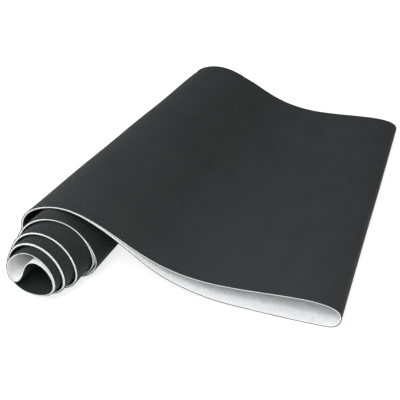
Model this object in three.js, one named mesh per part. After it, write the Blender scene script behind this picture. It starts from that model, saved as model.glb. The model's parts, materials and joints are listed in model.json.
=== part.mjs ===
// Endless running belt of three bonded plies, pressed flat and rolled up from one end.
// Millimetres, +Z up, +X along the free tail, +Y away from the telescoped end of the roll.
// The origin lies on the floor, under the roll's flat rest strip, at half the belt width.
import * as THREE from 'three';

// ---------- driving dimensions ----------
const BELT_WIDTH = 500;
const COVER_THICKNESS = 0.54;
const TENSION_PLY_THICKNESS = 0.15;
const FABRIC_THICKNESS = 0.4;
const BOND_LINE = 0.04; // clearance between two plies of one run
const FACE_GAP = 0.03; // half the clearance between the two runs, fabric to fabric
const CUT = 0.5; // gap where two moving sections of one ply meet

// Roll: each turn is a leaning oval, x = -A sin(a), z = ROLL_Z + B cos(a + lean(a)).
const ROLL_Z = 32;
const HALF_WIDTH_TURN_1 = 28.7; // A at the top of the second turn
const HALF_HEIGHT_TURN_1 = 29.5; // B at the top of the second turn
const WIDTH_PITCH = 3.35; // A lost per turn
const HEIGHT_PITCH = 3.5; // B lost per turn
const MOST_LEAN = -0.48; // radians, at the right shoulder of the roll
const NO_LEAN_AT = THREE.MathUtils.degToRad(115); // angle past the top, at the lower left
const SPIRAL_START = 0.75; // the loose first wrap becomes the spiral at its right side
const CORE_TURN = 4; // the spiral ends at the top of the core

// How far each turn stands out of the one around it, along the roll's axis.
const TURN_STANDOUT = [0, 27, 43.5, 54.5, 64];
const INNER_CREEP = 0.55; // mm per turn: how far the inner run creeps out of the outer

// Floor contact: the run thickness plus clearance under the face line.
const RUN_THICKNESS = COVER_THICKNESS + TENSION_PLY_THICKNESS + FABRIC_THICKNESS + 2 * BOND_LINE;
const FLOOR_FACE = RUN_THICKNESS + FACE_GAP;

// Facets
const FACETS_PER_TURN = 24;
const FACETS_PER_BEND = 6;
const CORE_FACETS = 8; // per bend, where the bends are tightest
const JOIN_FACETS = 4; // on the short high bend at the roll's right
const LEAD_FACETS = 4; // on the wrap's share of a lead

// ---------- outline curves in the XZ plane ----------
const at = (x, z) => new THREE.Vector2(x, z);
const bend = (...points) => new THREE.CubicBezierCurve(...points);
const straight = (from, to) => new THREE.LineCurve(from, to);

// Points where the outline changes character.
const ROLL_TOP = at(-2, 64.5);
const FIRST_WRAP_LEFT = at(-37.5, 41);
const REST_LEFT = at(-4, FLOOR_FACE);
const REST_RIGHT = at(4, FLOOR_FACE);
const LOOSE_RIGHT = at(32, 18.5);
const TAIL_SLOPE = at(76, 33);
const LOWER_SLOPE = at(81, 24.4);
const FOLD_TOP = at(209, 20.8);
const FOLD_SIDE = at(243.8, 10.2);
const FOLD_REST_RIGHT = at(233, FLOOR_FACE);
const FOLD_REST_LEFT = at(225, FLOOR_FACE);
const CORE_LEFT = at(-16.4, 37);
const CORE_BOTTOM = at(-10.2, 25.3);
const CORE_RISE = at(-4.5, 33.8);
const CORE_CREST = at(3, 43.3);
const OUTER_JOIN_TURN = 0.875; // where the loose outer run meets the inner run again
const CORE_JOIN_TURN = 3 + 19 / 24; // where the inner run leaves the outer run at the core

const halfWidth = (turn) => HALF_WIDTH_TURN_1 - WIDTH_PITCH * (turn - 1);
const halfHeight = (turn) => HALF_HEIGHT_TURN_1 - HEIGHT_PITCH * (turn - 1);

const lean = (angle) => MOST_LEAN * Math.sin((angle - NO_LEAN_AT) / 2) ** 2;

function spiralPoint(turn) {
  const angle = 2 * Math.PI * turn;
  return at(
    -halfWidth(turn) * Math.sin(angle),
    ROLL_Z + halfHeight(turn) * Math.cos(angle + lean(angle)),
  );
}

class Spiral extends THREE.Curve {
  constructor(fromTurn, toTurn) {
    super();
    this.fromTurn = fromTurn;
    this.toTurn = toTurn;
  }
  getPoint(t) {
    return spiralPoint(this.fromTurn + (this.toTurn - this.fromTurn) * t);
  }
}

// Upper run, from the top of the roll to the side of the mouth fold.
const upperLead = bend(ROLL_TOP, at(24, 64.5), at(54, 42.9), TAIL_SLOPE);
const upperTail = [
  bend(TAIL_SLOPE, at(100, 22.2), at(122, 19.1), at(146, 19.1)),
  bend(at(146, 19.1), at(167, 19.1), at(188, 20.8), FOLD_TOP),
];
const foldUpper = bend(FOLD_TOP, at(233, 20.8), at(243.8, 16.5), FOLD_SIDE);
const foldLower = bend(FOLD_SIDE, at(243.8, 5), at(240.5, FLOOR_FACE), FOLD_REST_RIGHT);
const foldRest = straight(FOLD_REST_RIGHT, FOLD_REST_LEFT);

// Lower run, from the mouth fold back up to the top of the roll.
const lowerTail = [
  bend(FOLD_REST_LEFT, at(201, FLOOR_FACE), at(173, 3.2), at(151, 4.4)),
  bend(at(151, 4.4), at(129, 5.6), at(98, 13.8), LOWER_SLOPE),
];
const lowerLead = bend(ROLL_TOP, at(24.2, 64.5), at(56.5, 39.8), LOWER_SLOPE);

// First wrap: over the top, loose on the left, flat on the floor. The two runs part a little
// low on the right side, and lie together again before the top.
const firstWrapLeft = [
  bend(ROLL_TOP, at(-20, 64.5), at(-37.5, 57), FIRST_WRAP_LEFT),
  bend(FIRST_WRAP_LEFT, at(-37.5, 21), at(-26, FLOOR_FACE), REST_LEFT),
  straight(REST_LEFT, REST_RIGHT),
];
const innerRight = bend(REST_RIGHT, at(17, FLOOR_FACE), at(29.5, 8.5), spiralPoint(SPIRAL_START));
const outerRightLow = bend(REST_RIGHT, at(20, FLOOR_FACE), at(32, 8), LOOSE_RIGHT);
const outerJoin = spiralPoint(OUTER_JOIN_TURN);
const outerRightHigh = bend(LOOSE_RIGHT, at(32, 25.5), at(24.6, 36.2), outerJoin);

// Core: the outer run turns over the left side, folds at the bottom and comes back as the
// inner run in an S, which joins the outer run again on the right.
const coreOuter = [
  bend(spiralPoint(CORE_TURN), at(-6.5, 52.4), at(-16.4, 45.5), CORE_LEFT),
  bend(CORE_LEFT, at(-16.4, 30.5), at(-14, 25.3), CORE_BOTTOM),
  bend(CORE_BOTTOM, at(-7.7, 25.3), at(-6, 28.8), CORE_RISE),
  bend(CORE_RISE, at(-3.1, 38.5), at(-1.2, 43.3), CORE_CREST),
];
const coreInnerJoin = bend(CORE_CREST, at(8.2, 43.3), at(15.3, 36.4), spiralPoint(CORE_JOIN_TURN));

// ---------- how far the near edge stands out at each place ----------
const ease = (t) => {
  const s = THREE.MathUtils.clamp(t, 0, 1);
  return s * s * (3 - 2 * s);
};

// Turn k leaves turn k - 1 over the top of the roll, between its right and left sides.
const rightSide = (k) => halfWidth(k - 0.25);
const leftSide = (k) => (k === CORE_TURN ? CORE_LEFT.x : -halfWidth(k + 0.25));

function standoutOverTop(k, x) {
  const share = ease((rightSide(k) - x) / (rightSide(k) - leftSide(k)));
  return TURN_STANDOUT[k - 1] + (TURN_STANDOUT[k] - TURN_STANDOUT[k - 1]) * share;
}

function standoutOnSpiral(turn, x) {
  const k = Math.round(turn);
  const overTop = Math.abs(turn - k) <= 0.25 && k >= 1;
  return overTop ? standoutOverTop(k, x) : TURN_STANDOUT[Math.floor(turn)];
}

// The inner run, being the shorter one, creeps out of the outer run as the turns go by. At the
// core the creep fades out again between the join and the inner fold.
const creep = (turn) => INNER_CREEP * Math.max(0, turn - SPIRAL_START);

// ---------- stations: places along a run, with the cover's side and the two edges ----------
// side is +1 where the cover lies left of the direction of travel, -1 where it lies right.
function stationsOn(curve, t0, t1, count, standout) {
  const list = [];
  for (let i = 0; i <= count; i += 1) {
    const t = t0 + ((t1 - t0) * i) / count;
    const p = curve.getPoint(t);
    list.push({ x: p.x, z: p.y, standout: standout(p.x, t) });
  }
  return list;
}

const flush = () => 0;

function chain(...lists) {
  const out = [];
  for (const list of lists) {
    for (const s of list) {
      const last = out[out.length - 1];
      if (!last || Math.hypot(s.x - last.x, s.z - last.z) > 1e-6) out.push(s);
    }
  }
  return out;
}

function spiralStations(fromTurn, toTurn, extra = flush) {
  const count = Math.round((toTurn - fromTurn) * FACETS_PER_TURN);
  const curve = new Spiral(fromTurn, toTurn);
  const standout = (x, t) => {
    const turn = fromTurn + (toTurn - fromTurn) * t;
    return standoutOnSpiral(turn, x) + extra(turn);
  };
  return stationsOn(curve, 0, 1, count, standout);
}

function bendStations(curves, standout = flush, count = FACETS_PER_BEND) {
  return chain(...curves.map((c) => {
    const pieces = c instanceof THREE.LineCurve ? 1 : count;
    return stationsOn(c, 0, 1, pieces, standout);
  }));
}

// Shorten both ends of a list of stations by half the cut between two sections.
function trimmed(list, trimStart, trimEnd) {
  const out = list.map((s) => ({ ...s }));
  const pull = (end, next) => {
    const length = Math.hypot(next.x - end.x, next.z - end.z);
    const share = CUT / 2 / length;
    end.x += (next.x - end.x) * share;
    end.z += (next.z - end.z) * share;
  };
  if (trimStart) pull(out[0], out[1]);
  if (trimEnd) pull(out[out.length - 1], out[out.length - 2]);
  return out;
}

// Unit normals towards the cover, mitred so that a ply keeps its thickness at each facet.
function coverNormals(list, side) {
  const direction = (a, b) => {
    const length = Math.hypot(b.x - a.x, b.z - a.z);
    return { x: (b.x - a.x) / length, z: (b.z - a.z) / length };
  };
  return list.map((s, i) => {
    const before = i > 0 ? direction(list[i - 1], s) : null;
    const after = i < list.length - 1 ? direction(s, list[i + 1]) : null;
    const a = before ?? after;
    const b = after ?? before;
    const sum = { x: a.x + b.x, z: a.z + b.z };
    const length = Math.hypot(sum.x, sum.z);
    const mitre = 2 / (length * length);
    return { x: -sum.z * side * mitre, z: sum.x * side * mitre };
  });
}

// ---------- one ply of one run, a closed ribbon between two offsets from the face ----------
function ribbon(list, side, inner, outer) {
  const normals = coverNormals(list, side);
  const positions = [];
  list.forEach((s, i) => {
    const n = normals[i];
    const near = -BELT_WIDTH / 2 - s.standout;
    const far = BELT_WIDTH / 2 - s.standout;
    for (const [offset, y] of [[inner, near], [outer, near], [outer, far], [inner, far]]) {
      positions.push(s.x + n.x * offset, y, s.z + n.z * offset);
    }
  });
  const faces = [];
  const quad = (a, b, c, d) => faces.push(a, b, c, a, c, d);
  for (let i = 0; i < list.length - 1; i += 1) {
    for (let k = 0; k < 4; k += 1) {
      const a = 4 * i + k;
      const b = 4 * i + ((k + 1) % 4);
      quad(a, b, b + 4, a + 4);
    }
  }
  const last = 4 * (list.length - 1);
  quad(3, 2, 1, 0);
  quad(last, last + 1, last + 2, last + 3);
  if (side > 0) faces.reverse();
  const geometry = new THREE.BufferGeometry();
  geometry.setAttribute('position', new THREE.Float32BufferAttribute(positions, 3));
  geometry.setIndex(faces);
  geometry.computeVertexNormals();
  return geometry;
}

// ---------- materials ----------
const coverMaterial = () => new THREE.MeshStandardMaterial({ color: 0x35393a, roughness: 0.62, metalness: 0 });
const plyMaterial = () => new THREE.MeshStandardMaterial({ color: 0x55544f, roughness: 0.85, metalness: 0 });
const fabricMaterial = () => new THREE.MeshStandardMaterial({ color: 0xe9ebec, roughness: 0.9, metalness: 0 });

const fabricTop = FACE_GAP + FABRIC_THICKNESS;
const plyTop = fabricTop + BOND_LINE + TENSION_PLY_THICKNESS;
const coverTop = plyTop + BOND_LINE + COVER_THICKNESS;

const PLIES = [
  { name: 'running_fabric', inner: FACE_GAP, outer: fabricTop, material: fabricMaterial },
  { name: 'tension_ply', inner: fabricTop + BOND_LINE, outer: plyTop, material: plyMaterial },
  { name: 'cover', inner: plyTop + BOND_LINE, outer: coverTop, material: coverMaterial },
];

const belt = new THREE.Group();

function addRun(name, list, side) {
  for (const ply of PLIES) {
    const mesh = new THREE.Mesh(ribbon(list, side, ply.inner, ply.outer), ply.material());
    mesh.name = `${name}_${ply.name}`;
    belt.add(mesh);
  }
}

// ---------- the sections ----------
const OUTWARD = 1; // cover left of the direction of travel
const INWARD = -1;

const BISECTIONS = 40;

// Parameter where a lead curve passes a given x.
function paramAtX(curve, x) {
  let low = 0;
  let high = 1;
  for (let i = 0; i < BISECTIONS; i += 1) {
    const middle = (low + high) / 2;
    if (curve.getPoint(middle).x < x) low = middle;
    else high = middle;
  }
  return (low + high) / 2;
}

const TAIL_HINGE_X = 27; // the tail lifts about this line
const upperHinge = paramAtX(upperLead, TAIL_HINGE_X);
const lowerHinge = paramAtX(lowerLead, TAIL_HINGE_X);

// First wrap: the two runs from the tail hinge over the roll to the top of the second turn.
const firstStandout = (x) => standoutOverTop(1, x);
const outerWrap = chain(
  bendStations([...firstWrapLeft, outerRightLow]),
  bendStations([outerRightHigh], firstStandout, JOIN_FACETS),
  spiralStations(OUTER_JOIN_TURN, 1),
);
const innerWrap = chain(
  bendStations([...firstWrapLeft, innerRight]),
  spiralStations(SPIRAL_START, 1, creep),
);
const upperOfWrap = stationsOn(upperLead, upperHinge, 0, LEAD_FACETS, flush);
const lowerOfWrap = stationsOn(lowerLead, lowerHinge, 0, LEAD_FACETS, flush);
addRun('wrap_1_outer', trimmed(chain(upperOfWrap, outerWrap), true, true), INWARD);
addRun('wrap_1_inner', trimmed(chain(lowerOfWrap, innerWrap), true, true), OUTWARD);

// Second and third turns.
for (const k of [2, 3]) {
  addRun(`wrap_${k}_outer`, trimmed(spiralStations(k - 1, k), true, true), INWARD);
  addRun(`wrap_${k}_inner`, trimmed(spiralStations(k - 1, k, creep), true, true), OUTWARD);
}

// Fourth turn and core. The core is one strip from the outer run round the inner fold to the
// inner run.
const coreStandout = (x) => standoutOverTop(CORE_TURN, x);
const coreCreep = (share) => creep(CORE_JOIN_TURN) * ease(share);
const [overTop, downLeft, ...riseAndCrest] = coreOuter;
const risingStandout = (first) => (x, t) => coreStandout(x) + coreCreep((first + t) / 3);
const core = chain(
  bendStations([overTop, downLeft], coreStandout, CORE_FACETS),
  ...riseAndCrest.map((c, i) => bendStations([c], risingStandout(i), CORE_FACETS)),
);
const lastJoin = stationsOn(coreInnerJoin, 1, 0, CORE_FACETS, risingStandout(2));
const lastOuter = spiralStations(CORE_TURN - 1, CORE_TURN);
const lastInner = chain(spiralStations(CORE_TURN - 1, CORE_JOIN_TURN, creep), lastJoin);
addRun('wrap_4_outer', trimmed(lastOuter, true, true), INWARD);
addRun('wrap_4_inner', trimmed(lastInner, true, true), OUTWARD);
addRun('core', trimmed(core, true, true), INWARD);

// Tail: upper run up to the mouth hinge, and lower run with the mouth fold.
const upperRoot = stationsOn(upperLead, upperHinge, 1, LEAD_FACETS + 1, flush);
addRun('upper_run_root', trimmed(upperRoot, true, true), OUTWARD);
const lowerLeadOut = stationsOn(lowerLead, 1, lowerHinge, LEAD_FACETS + 1, flush);
const lowerRun = chain(bendStations([foldUpper, foldLower, foldRest, ...lowerTail]), lowerLeadOut);
addRun('lower_run', trimmed(lowerRun, true, true), OUTWARD);
addRun('upper_run', trimmed(bendStations(upperTail), true, true), OUTWARD);

export default belt;
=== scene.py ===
"""Looks of the rolled running belt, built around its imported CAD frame. Metres, +Z up.

The belt is one endless sheet of three bonded plies: a white running fabric inside, a woven
tension ply, and an embossed black cover outside. Its outline is read from the CAD plies and
smoothed into one closed curve. Every visible piece is a length of one ply laid along it.
"""

import json
import math

import bpy
import numpy as np
from mathutils import Matrix, Vector

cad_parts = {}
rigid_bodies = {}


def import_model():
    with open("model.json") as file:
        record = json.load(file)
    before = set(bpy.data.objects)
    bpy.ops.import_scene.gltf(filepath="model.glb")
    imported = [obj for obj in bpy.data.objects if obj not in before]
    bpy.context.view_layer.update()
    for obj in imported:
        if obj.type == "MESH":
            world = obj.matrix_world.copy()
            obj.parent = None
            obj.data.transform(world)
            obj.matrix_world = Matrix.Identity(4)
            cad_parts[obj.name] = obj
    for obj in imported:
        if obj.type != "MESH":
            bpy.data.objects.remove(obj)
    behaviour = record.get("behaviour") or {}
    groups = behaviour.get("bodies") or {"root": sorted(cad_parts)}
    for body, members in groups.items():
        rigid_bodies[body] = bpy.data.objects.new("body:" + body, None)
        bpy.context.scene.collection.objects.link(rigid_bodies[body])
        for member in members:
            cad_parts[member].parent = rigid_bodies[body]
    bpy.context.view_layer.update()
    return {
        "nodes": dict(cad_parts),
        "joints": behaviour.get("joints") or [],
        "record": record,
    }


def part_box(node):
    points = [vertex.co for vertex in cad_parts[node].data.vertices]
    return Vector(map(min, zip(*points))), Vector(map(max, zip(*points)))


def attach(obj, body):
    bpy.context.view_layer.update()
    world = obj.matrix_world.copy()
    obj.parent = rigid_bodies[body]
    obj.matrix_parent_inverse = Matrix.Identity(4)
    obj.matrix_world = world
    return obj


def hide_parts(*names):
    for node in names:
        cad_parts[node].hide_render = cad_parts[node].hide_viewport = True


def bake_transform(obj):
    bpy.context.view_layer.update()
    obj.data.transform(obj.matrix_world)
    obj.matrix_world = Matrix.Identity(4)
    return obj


for leftover in list(bpy.data.objects):
    bpy.data.objects.remove(leftover)
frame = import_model()

MM = 0.001

# ---------- the CAD plies as ordered stations ----------
# CAD sections in their order along the belt: out along the upper run, round the mouth fold,
# back along the lower run and inwards to the core, then outwards again along the outer run.
LOOP = (
    "upper_run",
    "lower_run",
    "wrap_1_inner",
    "wrap_2_inner",
    "wrap_3_inner",
    "wrap_4_inner",
    "core",
    "wrap_4_outer",
    "wrap_3_outer",
    "wrap_2_outer",
    "wrap_1_outer",
    "upper_run_root",
)
PLY_EDGE_LIMIT = 0.6 * MM  # a shorter mesh edge runs across a ply, a longer one along it


def faces_of_ply(node):
    """The ply's corners in order along it: rows of x and z on its right face, x and z on its
    left face, and the y of its near edge."""
    mesh = frame["nodes"][node].data
    corner_of = [(round(v.co.x, 6), round(v.co.z, 6)) for v in mesh.vertices]
    near = {}
    for corner, v in zip(corner_of, mesh.vertices):
        near[corner] = min(near.get(corner, math.inf), v.co.y)
    partner, links = {}, []
    for edge in mesh.edges:
        a, b = (corner_of[i] for i in edge.vertices)
        if a == b:  # it runs across the belt
            continue
        if math.dist(a, b) < PLY_EDGE_LIMIT:
            partner[a], partner[b] = b, a
        else:
            links.append((a, b))
    # A station is the pair of corners that face each other across the ply.
    station = {corner: frozenset((corner, partner[corner])) for corner in near}
    neighbours = {s: set() for s in station.values()}
    for a, b in links:
        neighbours[station[a]].add(station[b])
        neighbours[station[b]].add(station[a])
    ends = [s for s, beside in neighbours.items() if len(beside) == 1]
    path = [min(ends, key=sorted)]
    while onward := [s for s in neighbours[path[-1]] if s not in path[-2:]]:
        path.append(onward[0])
    pairs = [np.array(sorted(s)) for s in path]
    centres = np.array([pair.mean(axis=0) for pair in pairs])
    rows = []
    for (a, b), ahead in zip(pairs, np.gradient(centres, axis=0)):
        if ahead[0] * (b - a)[1] - ahead[1] * (b - a)[0] < 0:
            a, b = b, a
        rows.append((*a, *b, near[tuple(a)]))
    return np.array(rows)


def turned_round(rows):
    return rows[::-1][:, [2, 3, 0, 1, 4]]


def face_line():
    """The inner face of the belt as one closed line of (x, z, near y), and the row at which
    each CAD section starts."""
    line, starts = [], {}
    end = None
    for name in LOOP:
        rows = faces_of_ply(f"{name}_running_fabric")
        if end is None:
            forward = rows[0, 0] < rows[-1, 0]
        else:
            forward = math.dist(rows[0, :2], end) < math.dist(rows[-1, 2:4], end)
        rows = rows if forward else turned_round(rows)
        end = rows[-1, :2]
        starts[name] = len(line)
        line.extend(rows[:, [0, 1, 4]])
    line = np.array(line)
    # Two sections meet across a narrow cut: one point in its middle stands for both ends.
    firsts = sorted(starts.values())
    for i in firsts:
        line[i] = (line[i] + line[i - 1]) / 2
    keep = np.ones(len(line), bool)
    keep[[i - 1 for i in firsts]] = False
    moved = np.cumsum(keep) - 1
    return line[keep], {name: moved[i] for name, i in starts.items()}


def thickness_of(ply):
    rows = faces_of_ply(f"upper_run_{ply}")
    return min(math.dist(r[:2], r[2:4]) for r in rows)


# ---------- one smooth closed curve through the face line ----------
STEP = 1.1 * MM  # spacing of the visual stations along the belt


def closed_spline(h, values):
    """Second derivatives, at the values, of the closed cubic spline through them. h holds the
    length from each value to the next."""
    slope = (np.roll(values, -1, axis=0) - values) / h[:, None]
    count = len(values)
    system = np.zeros((count, count))
    for i in range(count):
        system[i, i - 1] += h[i - 1]
        system[i, i] += 2 * (h[i - 1] + h[i])
        system[i, (i + 1) % count] += h[i]
    return np.linalg.solve(system, 6 * (slope - np.roll(slope, 1, axis=0)))


def smooth_loop(line):
    """Closely spaced (x, z, near y) rows along the closed spline, their outward normals, the
    length along the belt, and the fine row nearest to each coarse one."""
    h = np.linalg.norm(np.roll(line, -1, axis=0)[:, :2] - line[:, :2], axis=1)
    knots = np.cumsum(h) - h
    bend = closed_spline(h, line)
    rows, slopes, along, first = [], [], [], []
    for i in range(len(line)):
        j = (i + 1) % len(line)
        count = max(1, round(h[i] / STEP))
        first.append(len(rows))
        for b in np.arange(count) / count:
            a = 1 - b
            curve = (a**3 - a) * bend[i] + (b**3 - b) * bend[j]
            rows.append(a * line[i] + b * line[j] + curve * h[i] ** 2 / 6)
            swing = (1 - 3 * a * a) * bend[i] + (3 * b * b - 1) * bend[j]
            slopes.append((line[j] - line[i]) / h[i] + swing * h[i] / 6)
            along.append(knots[i] + b * h[i])
    rows, slopes = np.array(rows), np.array(slopes)[:, :2]
    # The spline may swing a little too low between its knots, and the belt rests on the floor.
    rows[:, 1] = np.maximum(rows[:, 1], line[:, 1].min())
    slopes /= np.linalg.norm(slopes, axis=1)[:, None]
    normals = np.stack([-slopes[:, 1], slopes[:, 0]], axis=1)
    return rows, normals, np.array(along), first


coarse, coarse_start = face_line()
outline, outward, along_belt, first_fine = smooth_loop(coarse)
FINE_START = {name: first_fine[i] for name, i in coarse_start.items()}
COUNT = len(outline)
LOOP_LENGTH = along_belt[-1] + math.dist(outline[-1, :2], outline[0, :2])
BELT_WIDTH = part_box("upper_run_cover")[1].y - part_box("upper_run_cover")[0].y

# Plies from the face outwards. The bond lines are closed, so no light passes between plies.
RUN = coarse[:, 1].min()  # the thickness of the sheet: where it rests, its face is this high
FABRIC = thickness_of("running_fabric")
COVER = thickness_of("cover")
PLY_FACES = {
    "running_fabric": (0, FABRIC),
    "tension_ply": (FABRIC, RUN - COVER),
    "cover": (RUN - COVER, RUN),
}

# ---------- a slight unevenness of the whole sheet ----------
WAVER = 0.3 * MM  # most that the sheet leaves its straight lines
WAVER_LENGTHS = (310 * MM, 173 * MM)  # along the width of the belt
WAVER_DRIFT = (240 * MM, 190 * MM)  # along the tail
WAVER_START = (0.7, 1.9)  # phase of each wave at the origin
FREE_HEIGHT = 20 * MM  # the sheet wavers in full from this height up, and not at all at the floor


def uneven(points):
    """The same points, waved a little in x and z. Space itself is waved, so that neighbouring
    turns stay clear of each other, and nothing moves where it rests on the floor."""
    x, y, z = points[..., 0], points[..., 1], points[..., 2]
    freedom = WAVER * np.clip(z / FREE_HEIGHT, 0, 1)
    moved = points.copy()
    for axis, length, drift, start in zip((0, 2), WAVER_LENGTHS, WAVER_DRIFT, WAVER_START):
        phase = 2 * math.pi * y / length + start + 2 * math.pi * x / drift
        moved[..., axis] += freedom * np.sin(phase)
    return moved


# ---------- ply surfaces over the whole loop ----------
COLUMNS = 20  # faces across the belt


def surface(offset):
    """A grid of points on the loop at this distance outside its face line, and its normals."""
    base = outline[:, :2] + outward * offset
    share = np.arange(COLUMNS + 1) / COLUMNS
    grid = np.empty((COUNT, COLUMNS + 1, 3))
    grid[..., 0] = base[:, :1]
    grid[..., 1] = outline[:, 2:3] + share[None, :] * BELT_WIDTH
    grid[..., 2] = base[:, 1:2]
    grid = uneven(grid)
    lengthwise = np.roll(grid, -1, axis=0) - np.roll(grid, 1, axis=0)
    across = np.gradient(grid, axis=1)
    normal = np.cross(across, lengthwise)
    normal /= np.linalg.norm(normal, axis=2)[..., None]
    return grid, normal


OFFSETS = sorted({offset for pair in PLY_FACES.values() for offset in pair})
SURFACES = {offset: surface(offset) for offset in OFFSETS}


def length_of_ply(name, ply, first, last):
    """One closed piece of a ply from fine row first to fine row last, smooth along the belt."""
    line = np.arange(first, last + 1)
    rows = line % COUNT
    inner, outer = (SURFACES[offset] for offset in PLY_FACES[ply])
    n, m = len(rows), COLUMNS + 1
    points = np.concatenate([inner[0][rows].reshape(-1, 3), outer[0][rows].reshape(-1, 3)])
    lo, hi = np.arange(2 * n * m).reshape(2, n, m)
    # The outer and the inner face, then the near and the far cut edge, then the two ends.
    sheets = [
        (hi[:-1, :-1], hi[:-1, 1:], hi[1:, 1:], hi[1:, :-1]),
        (lo[:-1, :-1], lo[1:, :-1], lo[1:, 1:], lo[:-1, 1:]),
        (lo[:-1, 0], hi[:-1, 0], hi[1:, 0], lo[1:, 0]),
        (lo[:-1, -1], lo[1:, -1], hi[1:, -1], hi[:-1, -1]),
        (lo[0, :-1], lo[0, 1:], hi[0, 1:], hi[0, :-1]),
        (lo[-1, :-1], hi[-1, :-1], hi[-1, 1:], lo[-1, 1:]),
    ]
    faces = np.concatenate([np.stack([c.ravel() for c in sheet], axis=1) for sheet in sheets])
    on_faces = 2 * (n - 1) * (m - 1)
    mesh = bpy.data.meshes.new(name)
    mesh.from_pydata(points.tolist(), [], faces.tolist())
    mesh.polygons.foreach_set("use_smooth", [True] * len(faces))
    mesh.polygons.foreach_set("material_index", [int(i >= on_faces) for i in range(len(faces))])
    # u runs along the belt and v across it, both in metres, so the patterns keep their size.
    u = along_belt[rows] + line // COUNT * LOOP_LENGTH
    v = np.arange(m) / COLUMNS * BELT_WIDTH
    place = np.stack(np.meshgrid(u, v, indexing="ij"), axis=-1).reshape(-1, 2)
    layer = mesh.uv_layers.new(name="sheet")
    layer.data.foreach_set("uv", np.tile(place, (2, 1))[faces.ravel()].ravel())
    # Normals come from the whole loop, so that pieces join without a seam, and are flat on
    # the cut edges and the ends.
    smooth = np.concatenate([-inner[1][rows].reshape(-1, 3), outer[1][rows].reshape(-1, 3)])
    normals = smooth[faces]
    a, b, c, d = (points[corner] for corner in faces[on_faces:].T)
    flat = np.cross(c - a, d - b)
    normals[on_faces:] = (flat / np.linalg.norm(flat, axis=1)[:, None])[:, None, :]
    mesh.normals_split_custom_set(normals.reshape(-1, 3).tolist())
    piece = bpy.data.objects.new(name, mesh)
    bpy.context.scene.collection.objects.link(piece)
    return piece


# ---------- where the pieces of the sheet begin and end ----------
ROLL_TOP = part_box("wrap_1_outer_cover")[1].z


def span(name):
    """The fine rows of a CAD section."""
    following = (*LOOP, LOOP[0])[LOOP.index(name) + 1]
    return np.arange(FINE_START[name], FINE_START[following] or COUNT)


def leftmost(name):
    rows = span(name)
    return rows[np.argmin(outline[rows, 0])]


def right_of_turn(k, run):
    """The right side of a turn. The first turn's section also holds the lead of the tail, so
    only its part below half height counts."""
    rows = span(f"wrap_{k}_{run}")
    if k == 1:
        rows = rows[outline[rows, 1] < ROLL_TOP / 2]
    return rows[np.argmax(outline[rows, 0])]


def nearest(rows, x):
    return rows[np.argmin(abs(outline[rows, 0] - x))]


def named(things, name):
    return next(thing for thing in things if thing["name"] == name)


TAIL_HINGE = named(frame["joints"], "tail_lift")["pos_m"][0]
MOUTH_HINGE = named(frame["joints"], "mouth_open")["pos_m"][0]
FOLD_REST = named(frame["record"]["mounts"], "fold_rest")["pos_m"][0]
BEND_REACH = 24 * MM  # the sheet bends this far to each side of a hinge line
LEAD_START = TAIL_HINGE - BEND_REACH
LEAD_END = TAIL_HINGE + BEND_REACH
MOUTH_END = MOUTH_HINGE + (MOUTH_HINGE - LEAD_END)
NEAR_FLOOR = 1.5 * RUN

# The tail's two leads, one for each run: the rows where they leave the roll and where they end.
top_outer = span("wrap_1_outer")
lead_start_upper = top_outer[outline[top_outer, 0] <= LEAD_START][-1]
top_inner = span("wrap_1_inner")
lead_start_lower = top_inner[outline[top_inner, 0] <= LEAD_START][0]
lead_end_upper = nearest(span("upper_run_root"), LEAD_END)
lower_rows = span("lower_run")
lead_end_lower = nearest(lower_rows[outline[lower_rows, 0] < FOLD_REST], LEAD_END)
# The mouth fold, from the upper run down to where it rests.
fold_start = FINE_START["lower_run"]
fold_end = nearest(lower_rows[outline[lower_rows, 1] < NEAR_FLOOR], FOLD_REST)

BODY_OF_TURN = {1: "root", 2: "wrap_2", 3: "wrap_3", 4: "wrap_4", 5: "core"}
INNER_RIGHT = {k: right_of_turn(k, "inner") for k in (1, 2, 3, 4)}
OUTER_RIGHT = {k: right_of_turn(k, "outer") for k in (1, 2, 3, 4)}
INNER_LEFT = {k: leftmost(f"wrap_{k}_inner") for k in (2, 3, 4)}
INNER_LEFT[5] = leftmost("core")
OUTER_LEFT = {k: leftmost(f"wrap_{k}_outer") for k in (2, 3, 4)}


def over_top(k):
    """Blend for the half turn over the top, from turn k's right side to turn k + 1's left."""
    start, end = outline[INNER_RIGHT[k], 0], outline[INNER_LEFT[k + 1], 0]
    return (BODY_OF_TURN[k], BODY_OF_TURN[k + 1], (start, 0, 0), (end, 0, 0))


LEAD_BEND = ("root", "tail", (LEAD_START, 0, 0), (LEAD_END, 0, 0))
MOUTH_BEND = ("tail", "upper_run", (LEAD_END, 0, 0), (MOUTH_END, 0, 0))
FOLD_BEND = ("tail", "upper_run", (0, 0, RUN), (0, 0, outline[fold_start, 1]))

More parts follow.
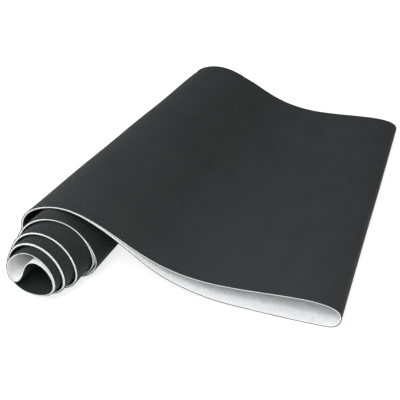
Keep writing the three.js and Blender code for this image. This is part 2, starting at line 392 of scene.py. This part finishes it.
# name: first row, last row, CAD section it stands for, body it rides on or blend
LENGTHS = {
    "tail_lead_upper": (lead_start_upper, lead_end_upper, "upper_run_root", LEAD_BEND),
    "upper_run": (lead_end_upper, fold_start + COUNT, "upper_run", MOUTH_BEND),
    "mouth_fold": (fold_start, fold_end, "lower_run", FOLD_BEND),
    "lower_run": (fold_end, lead_end_lower, "lower_run", "tail"),
    "tail_lead_lower": (lead_end_lower, lead_start_lower, "lower_run", LEAD_BEND),
    "first_wrap_inner": (lead_start_lower, INNER_RIGHT[1], "wrap_1_inner", "root"),
    "first_wrap_outer": (OUTER_RIGHT[1], lead_start_upper, "wrap_1_outer", "root"),
    "core_coil": (INNER_RIGHT[4], OUTER_RIGHT[4], "core", over_top(4)),
}
for k in (2, 3, 4):
    over, body = over_top(k - 1), BODY_OF_TURN[k]
    section = f"wrap_{k}_inner"
    LENGTHS[f"turn_{k}_inner_top"] = (INNER_RIGHT[k - 1], INNER_LEFT[k], section, over)
    LENGTHS[f"turn_{k}_inner_bottom"] = (INNER_LEFT[k], INNER_RIGHT[k], section, body)
    section = f"wrap_{k}_outer"
    LENGTHS[f"turn_{k}_outer_bottom"] = (OUTER_RIGHT[k], OUTER_LEFT[k], section, body)
    LENGTHS[f"turn_{k}_outer_top"] = (OUTER_LEFT[k], OUTER_RIGHT[k - 1], section, over)


# ---------- materials ----------
class Maker:
    """Adds nodes to a material or a world. add returns the new node, and each of the calls below
    it returns the output that holds its result."""

    def __init__(self, owner):
        self.tree = owner.node_tree

    def feed(self, node, inputs):
        """Links or sets the node's inputs."""
        for key, value in inputs.items():
            if isinstance(value, bpy.types.NodeSocket):
                self.tree.links.new(value, node.inputs[key])
            else:
                node.inputs[key].default_value = value

    def add(self, kind, inputs=None, **settings):
        node = self.tree.nodes.new(kind)
        for key, value in settings.items():
            setattr(node, key, value)
        self.feed(node, inputs or {})
        return node

    def math(self, operation, a, b=0.0):
        return self.add("ShaderNodeMath", {0: a, 1: b}, operation=operation).outputs[0]

    def total(self, a, share_a, b, share_b):
        """a and b added together, each times its share."""
        part = self.math("MULTIPLY", a, share_a)
        return self.math("ADD", part, self.math("MULTIPLY", b, share_b))

    def remap(self, value, low, high, to_low, to_high, smooth=True):
        kind = "SMOOTHSTEP" if smooth else "LINEAR"
        ends = {"From Min": low, "From Max": high, "To Min": to_low, "To Max": to_high}
        node = self.add("ShaderNodeMapRange", {"Value": value, **ends}, interpolation_type=kind)
        return node.outputs[0]

    def noise(self, place, scale, detail=2.0, stretch=(1, 1, 1)):
        moved = self.add("ShaderNodeVectorMath", {0: place, 1: stretch}, operation="MULTIPLY")
        inputs = {"Vector": moved.outputs[0], "Scale": scale, "Detail": detail}
        return self.add("ShaderNodeTexNoise", inputs).outputs["Fac"]

    def mix(self, share, a, b):
        """The colour between a and b. Each is an output or three numbers."""
        node = self.add("ShaderNodeMix", {"Factor": share}, data_type="RGBA")
        for key, colour in ((6, a), (7, b)):
            fixed = not isinstance(colour, bpy.types.NodeSocket)
            self.feed(node, {key: (*colour, 1) if fixed else colour})
        return node.outputs[2]

    def bump(self, height, distance, below=None):
        inputs = {"Height": height, "Distance": distance}
        if below is not None:
            inputs["Normal"] = below
        return self.add("ShaderNodeBump", inputs).outputs[0]

    def sheet_place(self):
        """u along the belt and v across it, in millimetres."""
        uv = self.add("ShaderNodeUVMap", uv_map="sheet").outputs[0]
        scaled = self.add("ShaderNodeVectorMath", {0: uv, "Scale": 1 / MM}, operation="SCALE")
        return scaled.outputs[0]

    def wave(self, value):
        """A smooth 0 to 1 wave with one crest per unit."""
        turned = self.math("MULTIPLY", value, 2 * math.pi)
        return self.remap(self.math("SINE", turned), -1, 1, 0, 1, smooth=False)


def new_material(name):
    material = bpy.data.materials.new(name)
    material.use_nodes = True
    return material, material.node_tree.nodes["Principled BSDF"], Maker(material)


# Noise scales are per millimetre on the sheet's faces, and per metre on its cut edges.
EMBOSS_ALONG = 1.7  # mm between the raised diamonds, along the belt
EMBOSS_ACROSS = 3.2  # mm, across the belt
EMBOSS_HEIGHT = 0.3 * MM
GRAIN_HEIGHT = 0.02 * MM  # of the fine crumbs in the cover's surface
FIBRE_HEIGHT = 0.05 * MM  # of the strokes on a cut edge
# The cover's colours between the diamonds and on them, each at its darkest and its palest. The
# difference between them is painted light: painted shade in the valleys, painted light on the
# raised diamonds.
VALLEYS_IN_PAINTED_SHADE = ((0.009, 0.010, 0.010), (0.014, 0.015, 0.015))
DIAMONDS_PAINTED_LIT = ((0.040, 0.047, 0.046), (0.058, 0.065, 0.061))
STREAKED = (1, 0.12, 1)  # stretches a noise across the belt, along the weft


def cover_material():
    """Matte black PVC with a fine raised diamond pattern, painted shade in the valleys and
    painted light on the diamonds, and a faint uneven bloom.
    """
    material, shader, make = new_material("embossed_pvc")
    place = make.sheet_place()
    split = make.add("ShaderNodeSeparateXYZ", {0: place})
    u = make.math("DIVIDE", split.outputs[0], EMBOSS_ALONG)
    v = make.math("DIVIDE", split.outputs[1], EMBOSS_ACROSS)
    one_way = make.wave(make.math("ADD", u, v))
    other_way = make.wave(make.math("SUBTRACT", u, v))
    # Where the diamonds stand raised: it shapes the relief, and it also paints shade into the
    # valleys and light onto the diamonds.
    raised_and_lit = make.remap(make.math("MULTIPLY", one_way, other_way), 0.1, 0.5, 0, 1)
    grain = make.noise(place, 3.0, 3)
    bloom = make.noise(place, 0.02, 3)
    streaks = make.noise(place, 0.05, 3, STREAKED)
    patchy = make.total(bloom, 0.6, streaks, 0.4)
    # Painted shade between the diamonds and painted light on them, taken from the diamond mask.
    colour = make.mix(raised_and_lit, make.mix(patchy, *VALLEYS_IN_PAINTED_SHADE), make.mix(patchy, *DIAMONDS_PAINTED_LIT))
    rubbed = make.math("ADD", patchy, make.math("MULTIPLY", grain, 0.3))
    roughness = make.remap(rubbed, 0.3, 1.0, 0.5, 0.68)
    relief = make.bump(grain, GRAIN_HEIGHT, below=make.bump(raised_and_lit, EMBOSS_HEIGHT))
    surface = {"Base Color": colour, "Roughness": roughness, "Normal": relief}
    make.feed(shader, {**surface, "Specular IOR Level": 0.25})
    return material


def edge_material(name, dark, light, roughness):
    """The bare cut edge of a ply: fibres or crumbs in fine uneven strokes."""
    material, shader, make = new_material(name)
    place = make.add("ShaderNodeTexCoord").outputs["Object"]
    strokes = make.noise(place, 1400, 3)
    drift = make.noise(place, 60, 2)
    tone = make.remap(make.total(strokes, 0.6, drift, 0.4), 0.35, 0.65, 0, 1)
    relief = make.bump(strokes, FIBRE_HEIGHT)
    surface = {"Base Color": make.mix(tone, dark, light), "Normal": relief}
    make.feed(shader, {**surface, "Roughness": roughness, "Specular IOR Level": 0.2})
    return material


def fabric_material(name, pale, shade, rib_pitch, height):
    """Woven fabric: crosswise ribs rib_pitch millimetres apart, finer picks between them, and a
    soft mottle."""
    material, shader, make = new_material(name)
    place = make.sheet_place()
    split = make.add("ShaderNodeSeparateXYZ", {0: place})
    u, v = split.outputs[0], split.outputs[1]
    sway = make.math("MULTIPLY", make.noise(place, 0.15, 2), 3.0)
    ribs = make.wave(make.math("DIVIDE", make.math("ADD", u, sway), rib_pitch))
    picks = make.wave(make.math("DIVIDE", v, rib_pitch * 0.6))
    weave = make.total(ribs, 0.6, picks, 0.4)
    strokes = make.noise(place, 0.8, 3, STREAKED)
    mottle = make.noise(place, 0.12, 4)
    tone = make.total(make.total(strokes, 0.6, mottle, 0.4), 0.8, weave, 0.2)
    colour = make.mix(make.remap(tone, 0.3, 0.7, 0, 1), shade, pale)
    relief = make.bump(strokes, height, below=make.bump(weave, height))
    surface = {"Base Color": colour, "Normal": relief, "Roughness": 0.92}
    make.feed(shader, {**surface, "Specular IOR Level": 0.2, "Sheen Weight": 0.15})
    return material


WHITE_CLOTH = {"pale": (0.72, 0.73, 0.72), "shade": (0.555, 0.575, 0.575)}
WHITE_FIBRES = {"dark": (0.52, 0.53, 0.53), "light": (0.72, 0.73, 0.72)}
DARK_CLOTH = {"pale": (0.11, 0.11, 0.105), "shade": (0.07, 0.07, 0.065)}
DARK_FIBRES = {"dark": (0.03, 0.03, 0.028), "light": (0.09, 0.09, 0.085)}
CUT_PVC = {"dark": (0.012, 0.013, 0.013), "light": (0.022, 0.023, 0.023)}

# Each ply's material on its faces and on its cut edges.
MATERIALS = {
    "running_fabric": (
        fabric_material("white_running_fabric", **WHITE_CLOTH, rib_pitch=1.5, height=0.06 * MM),
        edge_material("running_fabric_edge", **WHITE_FIBRES, roughness=0.95),
    ),
    "tension_ply": (
        fabric_material("woven_tension_ply", **DARK_CLOTH, rib_pitch=1.1, height=0.05 * MM),
        edge_material("tension_ply_edge", **DARK_FIBRES, roughness=0.9),
    ),
    "cover": (
        cover_material(),
        edge_material("cover_edge", **CUT_PVC, roughness=0.6),
    ),
}

# ---------- the visible pieces ----------
for name, (first, last, section, follows) in LENGTHS.items():
    if last < first:
        last += COUNT
    for ply in PLY_FACES:
        piece = length_of_ply(f"{name}_{ply}_sheet", ply, first, last)
        for material in MATERIALS[ply]:
            piece.data.materials.append(material)
        if isinstance(follows, str):
            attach(piece, follows)
        else:
            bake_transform(piece)
        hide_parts(f"{section}_{ply}")


# ---------- floor, light and camera ----------
FLOOR_GLOW = 0.78  # the floor's own light as the camera sees it, which leaves a faint shadow
FLOOR_SEEN = 0.4  # its reflectance to the camera
FLOOR_BOUNCE = 0.8  # and to the light that it sends back up
FLOOR_HALF = 6.0  # m, half its width
FLOOR_DROP = 0.2 * MM  # how far it lies under the belt

# Softboxes all round: the way to each, its strength and its tint.
SOFTBOXES = {
    "front": ((-0.2, -0.8, 0.57), 1.7, (1.0, 0.97, 1.0)),
    "low_front": ((0.1, -0.98, 0.17), 1.6, (1.0, 1.0, 1.0)),
    "left": ((-0.82, 0.0, 0.57), 1.95, (0.88, 1.0, 1.05)),
    "overhead": ((0.0, 0.0, 1.0), 1.1, (0.97, 1.0, 0.98)),
    "behind": ((0.2, 0.46, 0.86), 0.25, (1.0, 1.0, 1.0)),
}
SOFTBOX_FOCUS = 6.0  # a higher power makes each softbox smaller

# Lamps close to the belt's two ends: each one's place, what it points at, its width and height
# in metres, and its power in watts. The near lamp's light falls off along the belt. The far one
# is a strip low on the floor, so it lights the far cut edges and leaves the top alone.
LAMPS = {
    "near_lamp": ((0.15, -0.85, 0.55), (0.12, -0.2, 0.0), (0.4, 0.4), 6.0),
    "far_strip": ((0.0, 0.45, 0.009), (0.0, 0.25, 0.009), (0.2, 0.018), 0.2),
}

CAMERA_PLACE = Vector((290.7, -838.7, 366.0)) * MM
CAMERA_AZIMUTH = math.radians(15.95)  # turned left from +Y
CAMERA_ELEVATION = math.radians(24.0)
CAMERA_ROLL = math.radians(2.72)
SENSOR_WIDTH = 36  # mm
FOCAL_LENGTH = 75.71  # mm


def floor():
    """A wide, evenly lit pale floor just under the belt."""
    half = FLOOR_HALF
    corners = [(-half, -half, 0), (half, -half, 0), (half, half, 0), (-half, half, 0)]
    mesh = bpy.data.meshes.new("floor")
    mesh.from_pydata(corners, [], [(0, 1, 2, 3)])
    plane = bpy.data.objects.new("floor", mesh)
    plane.location.z = -FLOOR_DROP
    bpy.context.scene.collection.objects.link(plane)
    material, shader, make = new_material("pale_floor")
    seen = make.add("ShaderNodeLightPath").outputs["Is Camera Ray"]
    colour = make.mix(seen, (FLOOR_BOUNCE,) * 3, (FLOOR_SEEN,) * 3)
    glow = make.math("MULTIPLY", seen, FLOOR_GLOW)
    make.feed(shader, {"Emission Color": (1, 1, 1, 1), "Emission Strength": glow})
    make.feed(shader, {"Base Color": colour, "Roughness": 0.9, "Specular IOR Level": 0.0})
    mesh.materials.append(material)


def lamp(name, place, target, size, power):
    data = bpy.data.lights.new(name, "AREA")
    data.shape = "RECTANGLE"
    data.size, data.size_y = size
    data.energy = power
    light = bpy.data.objects.new(name, data)
    light.location = place
    light.rotation_euler = (Vector(target) - Vector(place)).to_track_quat("-Z", "Y").to_euler()
    light.visible_camera = False
    bpy.context.scene.collection.objects.link(light)


def studio():
    """Broad soft light from the softboxes, as a glow in the sky around each one's direction. The
    camera sees a plain white backdrop instead."""
    world = bpy.data.worlds.new("studio")
    bpy.context.scene.world = world
    world.use_nodes = True
    make = Maker(world)
    way = make.add("ShaderNodeTexCoord").outputs["Generated"]
    sky = (0.0, 0.0, 0.0)
    for place, strength, tint in SOFTBOXES.values():
        facing = make.add("ShaderNodeVectorMath", {0: way, 1: place}, operation="DOT_PRODUCT")
        near = make.math("MAXIMUM", facing.outputs["Value"], 0.0)
        glow = make.math("MULTIPLY", make.math("POWER", near, SOFTBOX_FOCUS), strength)
        light = make.add("ShaderNodeVectorMath", {0: tint, "Scale": glow}, operation="SCALE")
        both = {0: sky, 1: light.outputs[0]}
        sky = make.add("ShaderNodeVectorMath", both, operation="ADD").outputs[0]
    seen = make.add("ShaderNodeLightPath").outputs["Is Camera Ray"]
    colour = make.mix(seen, sky, (1.0, 1.0, 1.0))
    make.feed(world.node_tree.nodes["Background"], {"Color": colour})
    for name, settings in LAMPS.items():
        lamp(name, *settings)


def camera():
    a, e, r = CAMERA_AZIMUTH, CAMERA_ELEVATION, CAMERA_ROLL
    ahead = Vector((-math.sin(a) * math.cos(e), math.cos(a) * math.cos(e), -math.sin(e)))
    level = Vector((math.cos(a), math.sin(a), 0))
    upright = level.cross(ahead)
    right = math.cos(r) * level + math.sin(r) * upright
    up = math.cos(r) * upright - math.sin(r) * level
    data = bpy.data.cameras.new("camera")
    data.sensor_width = SENSOR_WIDTH
    data.lens = FOCAL_LENGTH
    data.clip_start = 10 * MM
    eye = bpy.data.objects.new("camera", data)
    turned = Matrix((right, up, -ahead)).transposed().to_4x4()
    eye.matrix_world = Matrix.Translation(CAMERA_PLACE) @ turned
    bpy.context.scene.collection.objects.link(eye)
    bpy.context.scene.camera = eye


floor()
studio()
camera()
bpy.context.scene.view_settings.view_transform = "Standard"
